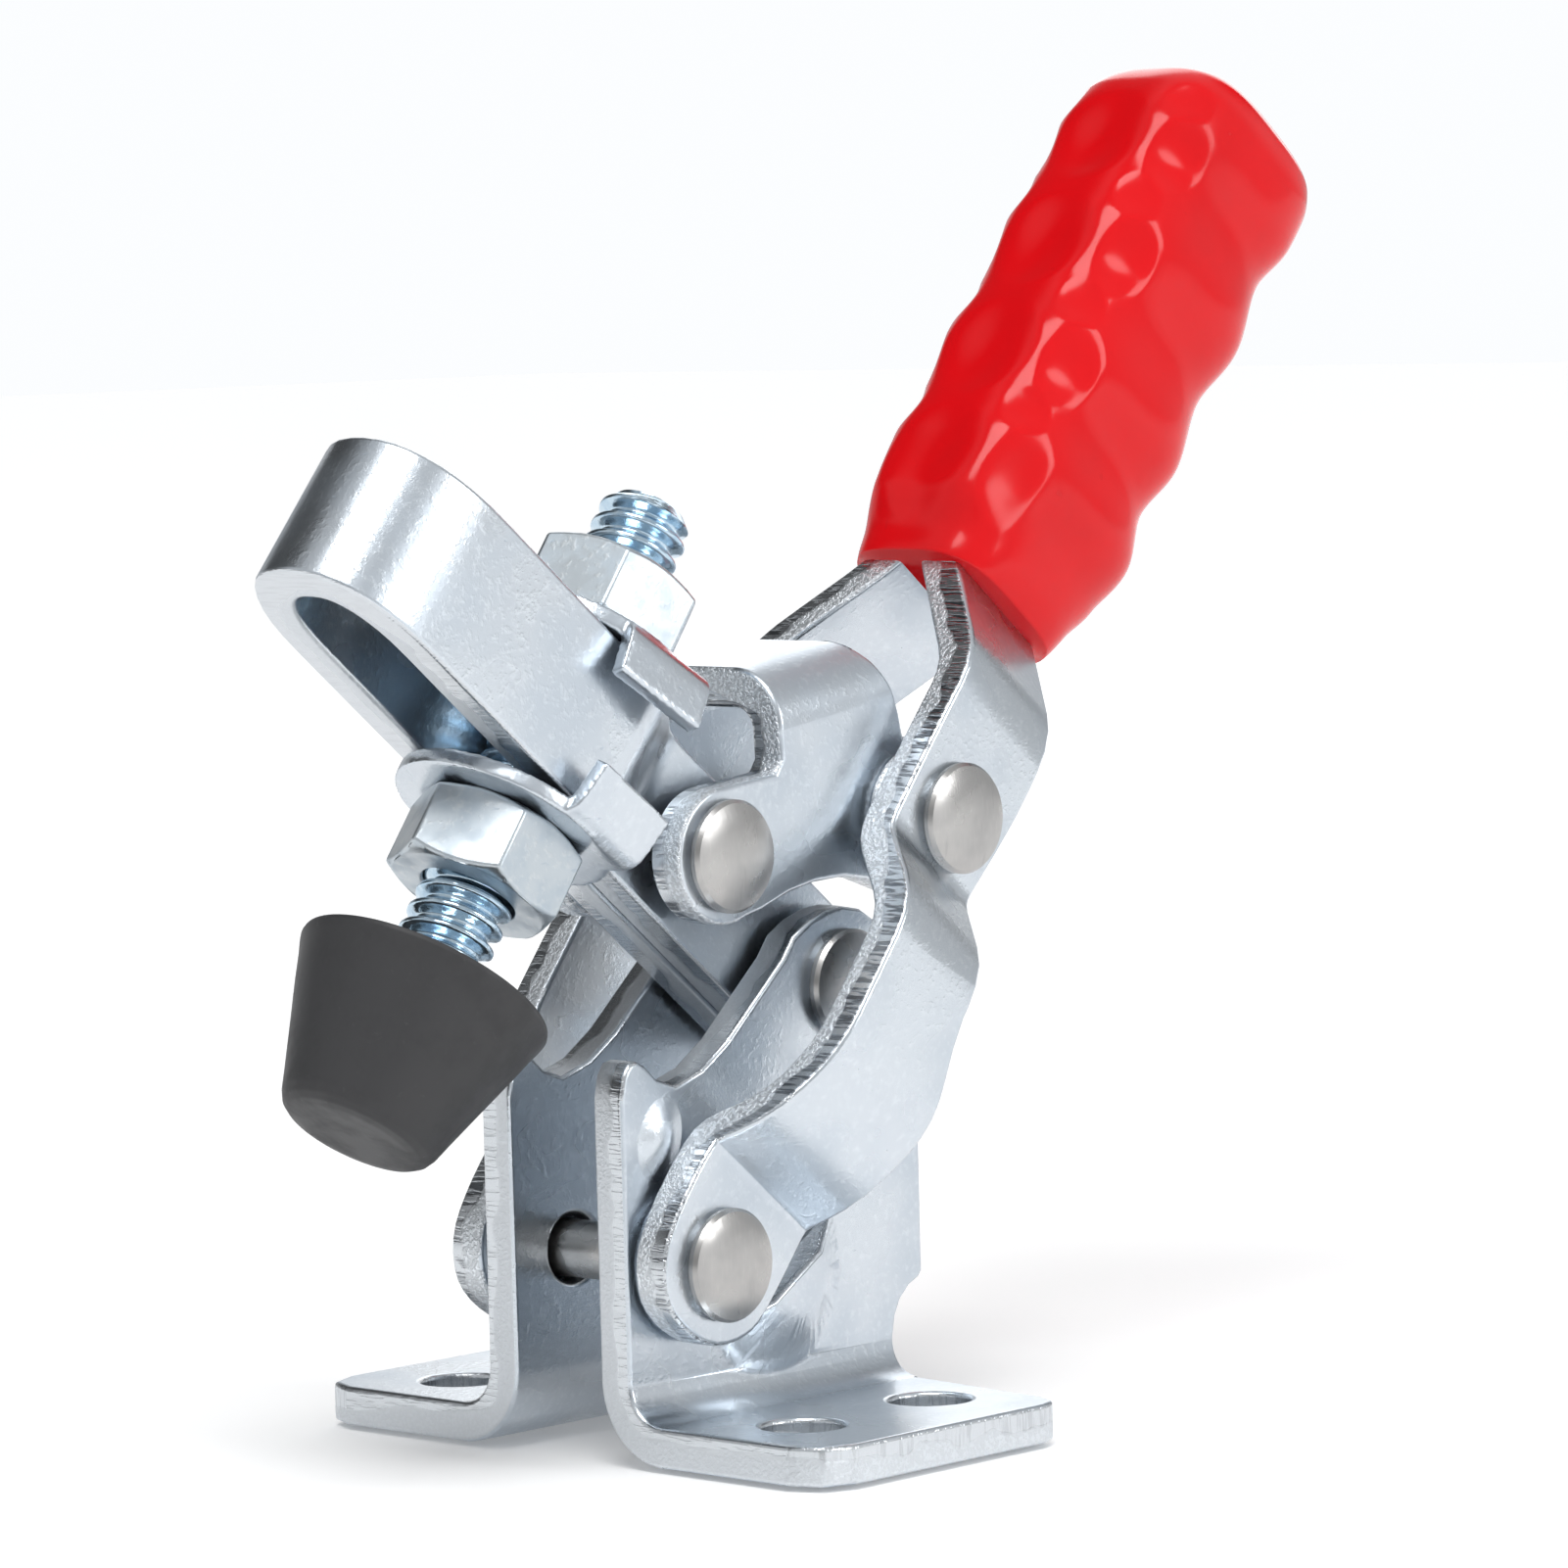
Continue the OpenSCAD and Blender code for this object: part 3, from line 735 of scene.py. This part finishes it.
class CLAMP_OT_spindle(bpy.types.Operator):
    """Builds the threaded spindle: a grid over height and angle whose radius follows a rounded saw tooth of the
    height minus pitch times turns, so that the crest runs up as a helix; it fades out at the top."""

    bl_idname = "clamp.spindle"
    bl_label = "Spindle"

    def execute(self, context):
        pitch, depth = sizes().thread_pitch * TO_MM, sizes().thread_depth * TO_MM
        top, low, outer = 16.78, -19.3, 2.98
        rows_per_turn, crest, flank_width, fade = 18, 0.16, 0.70, 0.8
        z = np.linspace(low, top, int((top - low) / pitch * rows_per_turn) + 1)
        a = np.linspace(0, FULL_TURN, 72, endpoint=False)
        zz, aa = np.meshgrid(z, a, indexing="ij")
        tooth = np.abs(2 * ((zz / pitch - aa / FULL_TURN) % 1) - 1)
        flank = np.clip((tooth - crest) / flank_width, 0, 1)
        r = outer - depth * (0.5 * flank + 0.5 * flank * flank * (3 - 2 * flank))
        r = np.minimum(r, outer - depth * (1 - np.clip((top - zz) / fade, 0, 1)))

        def ring(radius, height):
            """A level circle as one more row of the grid."""
            return np.stack([radius * np.cos(a), radius * np.sin(a), np.full_like(a, height)], -1)[None]

        # The foot is closed flat inside the cap, and the top end is slightly dished
        thread = np.stack([r * np.cos(aa), r * np.sin(aa), zz], -1)
        pts = np.concatenate([ring(0.3, low), thread, ring(1.9, top + 0.01), ring(0.8, top - 0.12)])
        mesh = grid_mesh("threaded-spindle", from_lean_frame(pts, SPINDLE, SPINDLE_LEAN) * MM)
        mesh.set_sharp_from_angle(angle=THREAD_SHARP)
        put("threaded-spindle", mesh, [thread_finish()], "screw", "screw_steel", "spindle")
        return {"FINISHED"}


class CLAMP_OT_cap(bpy.types.Operator):
    """Builds the rubber cap: a profile of radius over height turned round the spindle."""

    bl_idname = "clamp.cap"
    bl_label = "Rubber cap"

    def execute(self, context):
        # Radius and height, from the middle of the pressing face up the side to the dished top
        profile = np.array([[0.02, -28.04], [2.6, -28.07], [3.7, -28.07], [4.35, -27.96], [4.78, -27.65], [5.08, -27.1],
                            [5.45, -25.9], [6.35, -23.1], [7.2, -20.5], [7.68, -18.9], [7.95, -18.15], [8.06, -17.75],
                            [8.0, -17.48], [7.65, -17.35], [7.1, -17.5], [6.4, -18.2], [4, -18.4], [3.02, -18.6]])
        rows, columns = 90, 96
        t = np.arange(len(profile))
        fine = np.linspace(0, len(profile) - 1, rows)
        r, h = np.interp(fine, t, profile[:, 0]), np.interp(fine, t, profile[:, 1])
        a = np.linspace(0, FULL_TURN, columns, endpoint=False)
        pts = np.stack([r[:, None] * np.cos(a), r[:, None] * np.sin(a), np.repeat(h[:, None], len(a), 1)], -1)
        mesh = grid_mesh("rubber-cap", from_lean_frame(pts, SPINDLE, SPINDLE_LEAN) * MM)
        put("rubber-cap", mesh, [rubber_finish()], "screw", "cap_rubber", "cap")
        return {"FINISHED"}


class CLAMP_OT_grip(bpy.types.Operator):
    """Builds the grip: super-ellipses lofted along the handle through the stations, each with its height, middle,
    depth and width. Columns of oval dimples are pressed in: large ones down the front, and large and small ones by
    turns round both front corners. Each sinks towards the axis by the 1.5th power of one less the squared distance
    from its middle, measured in half angles and half heights."""

    bl_idname = "clamp.grip"
    bl_label = "Grip"

    def execute(self, context):
        start, dome_start, dome, squareness = 50.1, 38, 4.55, 3.3
        stations = np.array([
            [0, 0.6, 12.5, 11.3], [0.5, 0.65, 12.8, 11.6], [2, 0.75, 13.4, 12.1], [4.9, 0.7, 15.9, 12.4],
            [8.9, 1.15, 17, 13.4], [12.9, 0.85, 15.9, 12.4], [17.2, 1.1, 17, 13.4], [22.2, 0.95, 15.9, 12.4],
            [27.2, 1.25, 17, 13.4], [32.2, 1.05, 15.9, 12.4], [36, 1.45, 16.9, 13.2], [38.4, 1.75, 16.4, 13.0],
            [40.3, 2.1, 15.0, 11.9], [41.4, 2.4, 12.8, 10.0], [42.1, 2.6, 9.6, 7.4], [42.45, 2.7, 5.6, 4.3],
            [42.55, 2.7, 0.4, 0.3]])
        # Each column: share of the depth, degrees from the front, half angle, and (height, half height) of its dimples
        columns = (
            (1.1, 0, 34, ((56.6, 4.5), (65.6, 4.0), (74.6, 4.0), (83.5, 4.0))),
            (1, 51, 15, ((56.8, 3.9), (65.7, 3.2), (74.8, 3.2), (83.4, 3.2))),
            (0.55, 42, 13, ((61.3, 1.9), (70.1, 1.9), (79.0, 1.9), (87.2, 1.9))))
        dome_rows = np.sin(np.linspace(0, np.pi / 2, 52))[1:]
        h = np.concatenate([np.linspace(0, dome_start, 190), dome_start + dome * dome_rows])
        mid, deep, wide = (smooth_interp(h, stations[:, 0], stations[:, c])[:, None] for c in (1, 2, 3))
        a = np.linspace(0, FULL_TURN, 216, endpoint=False)
        ca, sa = np.cos(a), np.sin(a)
        shape = (np.abs(ca) ** squareness + np.abs(sa) ** squareness) ** (-1 / squareness)
        x, y = mid + deep / 2 * ca * shape, wide / 2 * sa * shape
        z = np.repeat(h[:, None], len(a), 1) + start
        turn = np.abs(np.degrees(a) - 180)[None]
        sink = np.zeros_like(x)
        for share, middle, half, dimples in columns:
            for height, tall in dimples:
                inside = 1 - ((turn - middle) / half) ** 2 - ((z - height) / tall) ** 2
                sink += share * np.clip(inside, 0, 1) ** 1.5
        depth = sizes().dimple_depth * TO_MM * sink / np.hypot(x - mid, y)
        x, y = x - (x - mid) * depth, y - y * depth
        pts = np.stack([x, y, z], -1)
        mesh = grid_mesh("red-grip", from_lean_frame(pts, HANDLE_PIVOT, HANDLE_LEAN) * MM)
        put("red-grip", mesh, [grip_finish()], "handle", "grip_red", "grip")
        return {"FINISHED"}


def smooth_interp(x, xs, ys):
    """Values through the stations with level turning points, by cubic pieces with limited slopes."""
    d = np.diff(ys) / np.diff(xs)
    slope = np.zeros_like(ys)
    same = d[:-1] * d[1:] > 0
    slope[1:-1] = np.where(same, 2 * d[:-1] * d[1:] / np.where(same, d[:-1] + d[1:], 1), 0)
    slope[0], slope[-1] = d[0], d[-1]
    i = np.clip(np.searchsorted(xs, x, side="right") - 1, 0, len(xs) - 2)
    w = xs[i + 1] - xs[i]
    t = (x - xs[i]) / w
    return ((1 + 2 * t) * (1 - t) ** 2 * ys[i] + t * (1 - t) ** 2 * w * slope[i]
            + t * t * (3 - 2 * t) * ys[i + 1] + t * t * (t - 1) * w * slope[i + 1])


def studio_world(scene):
    """A white tent for the reflections: bright all round, half dark overhead, dark in four soft gaps, and plain
    white where the camera looks straight at it."""
    world = scene.world or bpy.data.worlds.new("studio")
    scene.world = world
    world.use_nodes = True
    n, link = world.node_tree.nodes, world.node_tree.links.new
    n.clear()
    where = n.new("ShaderNodeTexCoord").outputs["Generated"]
    tent, loss, overhead_share = 0.61, 0.55, 0.6
    overhead = ((-0.3, -0.05, 0.95), 6, 24)
    gaps = (((0.0, 0.79, 0.61), 17, 34), ((-1, -0.75, 0.05), 6, 20), ((-0.45, 1, 0.25), 4, 22),
            ((1, 0.1, 0.55), 5, 22))

    def gap(direction, near, far):
        """1 within the angle near of a direction, falling to 0 at the angle far."""
        dot = n.new("ShaderNodeVectorMath")
        dot.operation = "DOT_PRODUCT"
        dot.inputs[1].default_value = Vector(direction).normalized()
        link(where, dot.inputs[0])
        span = n.new("ShaderNodeMapRange")
        span.interpolation_type = "SMOOTHSTEP"
        span.inputs["From Min"].default_value = math.cos(math.radians(far))
        span.inputs["From Max"].default_value = math.cos(math.radians(near))
        link(dot.outputs["Value"], span.inputs["Value"])
        return span.outputs["Result"]

    dark = reckoned(n, link, "MULTIPLY", gap(*overhead), overhead_share)
    for spec in gaps:
        dark = reckoned(n, link, "MAXIMUM", dark, gap(*spec))
    level = reckoned(n, link, "MULTIPLY_ADD", dark, -loss, tent)
    seen = n.new("ShaderNodeLightPath").outputs["Is Camera Ray"]
    back = n.new("ShaderNodeBackground")
    back.inputs["Color"].default_value = (0.97, 0.985, 1.0, 1)
    link(reckoned(n, link, "MAXIMUM", level, seen), back.inputs["Strength"])
    link(back.outputs[0], n.new("ShaderNodeOutputWorld").inputs["Surface"])


def pale_floor(scene):
    """A wide floor whose own glow grows with the distance from the clamp, so that it runs out into the tent."""
    half, level = 3.0, -0.0003
    clear("floor")
    mesh = bpy.data.meshes.new("floor")
    corners = [(-half, -half, level), (half, -half, level), (half, half, level), (-half, half, level)]
    mesh.from_pydata(corners, [], [(0, 1, 2, 3)])
    floor = bpy.data.objects.new("floor", mesh)
    scene.collection.objects.link(floor)
    m = bpy.data.materials.new("floor")
    m.use_nodes = True
    shader = m.node_tree.nodes["Principled BSDF"]
    shader.inputs["Base Color"].default_value = (0.93, 0.93, 0.93, 1)
    shader.inputs["Roughness"].default_value = 0.9
    n, link = m.node_tree.nodes, m.node_tree.links.new
    away = n.new("ShaderNodeVectorMath")
    away.operation = "LENGTH"
    link(n.new("ShaderNodeTexCoord").outputs["Object"], away.inputs[0])
    span = n.new("ShaderNodeMapRange")
    for key, value in (("From Min", 0.12), ("From Max", 0.9), ("To Min", 0.16), ("To Max", 0.55)):
        span.inputs[key].default_value = value
    link(away.outputs["Value"], span.inputs["Value"])
    link(span.outputs["Result"], shader.inputs["Emission Color"])
    shader.inputs["Emission Strength"].default_value = 1
    mesh.materials.append(m)
    return floor


def studio_lamps(scene):
    """Three area lamps, each with its place, its size in metres and its power in watts, aimed at the clamp."""
    middle = Vector((0.01, 0, 0.04))
    rows = (("top", (-0.28, -0.21, 0.735), 0.40, 3.7), ("side", (0.26, -0.70, 0.30), 0.28, 1.3),
            ("back", (0.66, 0.40, 0.40), 0.5, 1.1))
    lamps = []
    for name, place, size, power in rows:
        clear(name)
        data = bpy.data.lights.new(name, "AREA")
        data.size, data.energy = size, power
        lamp = bpy.data.objects.new(name, data)
        lamp.location = place
        lamp.rotation_euler = (middle - Vector(place)).to_track_quat("-Z", "Y").to_euler()
        scene.collection.objects.link(lamp)
        lamps.append(lamp)
    return lamps


def photo_camera(scene):
    """The camera at the photograph's angle: it stands back from the target along the azimuth and elevation, and its
    right and up axes are rolled about that line."""
    azimuth, elevation, roll = (math.radians(v) for v in CAMERA_TURN)
    level = math.cos(elevation)
    back = Vector((math.sin(azimuth) * level, -math.cos(azimuth) * level, math.sin(elevation)))
    right = Vector((math.cos(azimuth), math.sin(azimuth), 0))
    up = back.cross(right)
    turned = math.cos(roll) * right + math.sin(roll) * up
    upright = -math.sin(roll) * right + math.cos(roll) * up
    clear("camera")
    data = bpy.data.cameras.new("camera")
    data.sensor_width = SENSOR_WIDTH
    data.lens = SENSOR_WIDTH * FOCAL_LENGTH / PHOTO_WIDTH
    data.shift_x, data.shift_y = CAMERA_SHIFT
    data.clip_start, data.clip_end = 0.02, 20
    cam = bpy.data.objects.new("camera", data)
    spot = Vector(CAMERA_TARGET) + CAMERA_DISTANCE * back
    cam.matrix_world = Matrix((
        (turned.x, upright.x, back.x, spot.x), (turned.y, upright.y, back.y, spot.y),
        (turned.z, upright.z, back.z, spot.z), (0, 0, 0, 1)))
    scene.collection.objects.link(cam)
    scene.camera = cam


class CLAMP_OT_stage(bpy.types.Operator):
    """Sets a pale floor, soft light and the camera at the photograph's angle."""

    bl_idname = "clamp.stage"
    bl_label = "Stage"

    def execute(self, context):
        scene = context.scene
        scene.view_settings.view_transform = "Standard"
        floor = pale_floor(scene)
        lamps = studio_lamps(scene)
        studio_world(scene)
        photo_camera(scene)
        return {"FINISHED"}


class CLAMP_PT_pieces(bpy.types.Panel):
    """Lists the clamp's sizes, colours and pieces."""

    bl_idname = "CLAMP_PT_pieces"
    bl_label = "Toggle Clamp"
    bl_space_type = "VIEW_3D"
    bl_region_type = "UI"
    bl_category = "Clamp"

    def draw(self, context):
        layout = self.layout
        for owner in (context.scene.clamp_sizes, context.scene.clamp_colours):
            box = layout.box()
            for key in owner.__annotations__:
                box.prop(owner, key)
        for piece in PIECES:
            layout.operator(piece.bl_idname)


PIECES = (CLAMP_OT_base, CLAMP_OT_handle, CLAMP_OT_link, CLAMP_OT_arm, CLAMP_OT_rivets, CLAMP_OT_nuts,
          CLAMP_OT_spindle, CLAMP_OT_cap, CLAMP_OT_grip, CLAMP_OT_stage)
CLASSES = (ClampSizes, ClampColours, *PIECES, CLAMP_PT_pieces)


def register():
    """Registers the add-on's classes and puts its sizes and colours on the scene."""
    for c in CLASSES:
        bpy.utils.register_class(c)
    bpy.types.Scene.clamp_sizes = bpy.props.PointerProperty(type=ClampSizes)
    bpy.types.Scene.clamp_colours = bpy.props.PointerProperty(type=ClampColours)


def unregister():
    """Takes the add-on's classes and settings away again."""
    del bpy.types.Scene.clamp_colours
    del bpy.types.Scene.clamp_sizes
    for c in reversed(CLASSES):
        bpy.utils.unregister_class(c)


def main():
    """Runs every operator."""
    register()
    for piece in PIECES:
        group, name = piece.bl_idname.split(".")
        getattr(getattr(bpy.ops, group), name)()


if __name__ == "__main__":
    main()
